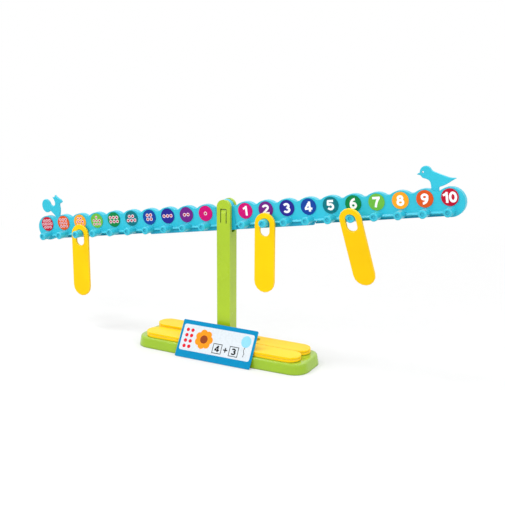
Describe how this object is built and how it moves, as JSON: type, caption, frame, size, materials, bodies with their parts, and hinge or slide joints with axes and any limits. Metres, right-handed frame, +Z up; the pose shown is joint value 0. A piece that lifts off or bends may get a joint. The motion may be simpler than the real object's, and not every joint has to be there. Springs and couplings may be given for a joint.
{
  "type": "number balance",
  "caption": "Toy beam balance: a scalloped beam with numbered pegs pivots in a forked post on a flat base, with hook-on plate weights, two animal figures and a card.",
  "frame": {"origin": "on the surface the base stands on, under the pivot, at the centre of the base", "axes": "+X along the base and beam to the side with numerals, +Y away from the side with the discs and pegs, +Z up"},
  "size_m": [0.5547, 0.0694, 0.244],
  "materials": {
    "lime_plastic": "moulded, satin gloss",
    "sky_plastic": "moulded, satin gloss",
    "yellow_plastic": "moulded, satin gloss",
    "card_print": "printed and varnished card",
    "disc_1": "printed film",
    "disc_2": "printed film",
    "disc_3": "printed film",
    "disc_4": "printed film",
    "disc_5": "printed film",
    "disc_6": "printed film",
    "disc_7": "printed film",
    "disc_8": "printed film",
    "disc_9": "printed film",
    "disc_10": "printed film"
  },
  "bodies": {
    "stand": {"base_shell": "lime_plastic", "post": "lime_plastic"},
    "beam": {"beam_centre": "sky_plastic", "left_arm": "sky_plastic", "right_arm": "sky_plastic", "bird": "sky_plastic", "squirrel": "sky_plastic", "dot_disc_1": "disc_1", "dot_disc_2": "disc_2", "dot_disc_3": "disc_3", "dot_disc_4": "disc_4", "dot_disc_5": "disc_5", "dot_disc_6": "disc_6", "dot_disc_7": "disc_7", "dot_disc_8": "disc_8", "dot_disc_9": "disc_9", "dot_disc_10": "disc_10", "number_disc_1": "disc_1", "number_disc_2": "disc_2", "number_disc_3": "disc_3", "number_disc_4": "disc_4", "number_disc_5": "disc_5", "number_disc_6": "disc_6", "number_disc_7": "disc_7", "number_disc_8": "disc_8", "number_disc_9": "disc_9", "number_disc_10": "disc_10"},
    "hung_weight_left_8_body": {"hung_weight_left_8": "yellow_plastic"},
    "hung_weight_right_2_body": {"hung_weight_right_2": "yellow_plastic"},
    "hung_weight_right_6_body": {"hung_weight_right_6": "yellow_plastic"},
    "stored_weight_left_front_1_body": {"stored_weight_left_front_1": "yellow_plastic"},
    "stored_weight_left_front_2_body": {"stored_weight_left_front_2": "yellow_plastic"},
    "stored_weight_left_back_1_body": {"stored_weight_left_back_1": "yellow_plastic"},
    "stored_weight_left_back_2_body": {"stored_weight_left_back_2": "yellow_plastic"},
    "stored_weight_left_back_3_body": {"stored_weight_left_back_3": "yellow_plastic"},
    "stored_weight_right_front_1_body": {"stored_weight_right_front_1": "yellow_plastic"},
    "stored_weight_right_front_2_body": {"stored_weight_right_front_2": "yellow_plastic"},
    "stored_weight_right_back_1_body": {"stored_weight_right_back_1": "yellow_plastic"},
    "stored_weight_right_back_2_body": {"stored_weight_right_back_2": "yellow_plastic"},
    "card": {"question_card": "card_print"}
  },
  "joints": [
    {"name": "beam_tilt", "type": "hinge", "parent": "stand", "child": "beam", "pos_m": [0, 0, 0.173], "axis": [0, 1, 0], "range_deg": [0, 18]},
    {"name": "swing_left_8", "type": "hinge", "parent": "beam", "child": "hung_weight_left_8_body", "pos_m": [-0.20718, -0.0068, 0.12591], "axis": [0, 1, 0], "range_deg": [-30, 30]},
    {"name": "swing_right_2", "type": "hinge", "parent": "beam", "child": "hung_weight_right_2_body", "pos_m": [0.05455, -0.0096, 0.16737], "axis": [0, 1, 0], "range_deg": [-30, 30]},
    {"name": "swing_right_6", "type": "hinge", "parent": "beam", "child": "hung_weight_right_6_body", "pos_m": [0.15925, -0.0162, 0.18395], "axis": [0, 1, 0], "range_deg": [-20, 40]},
    {"name": "pull_left_front_1", "type": "slide", "parent": "stand", "child": "stored_weight_left_front_1_body", "axis": [-1, 0, 0], "range_m": [0, 0.045]},
    {"name": "pull_left_front_2", "type": "slide", "parent": "stand", "child": "stored_weight_left_front_2_body", "axis": [-1, 0, 0], "range_m": [0, 0.045]},
    {"name": "lift_left_back_1", "type": "slide", "parent": "stand", "child": "stored_weight_left_back_1_body", "axis": [0, 0, 1], "range_m": [0, 0.02]},
    {"name": "lift_left_back_2", "type": "slide", "parent": "stored_weight_left_back_1_body", "child": "stored_weight_left_back_2_body", "axis": [0, 0, 1], "range_m": [0, 0.02]},
    {"name": "lift_left_back_3", "type": "slide", "parent": "stored_weight_left_back_2_body", "child": "stored_weight_left_back_3_body", "axis": [0, 0, 1], "range_m": [0, 0.02]},
    {"name": "pull_right_front_1", "type": "slide", "parent": "stand", "child": "stored_weight_right_front_1_body", "axis": [1, 0, 0], "range_m": [0, 0.045]},
    {"name": "pull_right_front_2", "type": "slide", "parent": "stand", "child": "stored_weight_right_front_2_body", "axis": [1, 0, 0], "range_m": [0, 0.045]},
    {"name": "lift_right_back_1", "type": "slide", "parent": "stand", "child": "stored_weight_right_back_1_body", "axis": [0, 0, 1], "range_m": [0, 0.02]},
    {"name": "lift_right_back_2", "type": "slide", "parent": "stored_weight_right_back_1_body", "child": "stored_weight_right_back_2_body", "axis": [0, 0, 1], "range_m": [0, 0.02]},
    {"name": "card_off", "type": "slide", "parent": "stand", "child": "card", "axis": [0, -0.8572, 0.515], "range_m": [0, 0.06]}
  ]
}
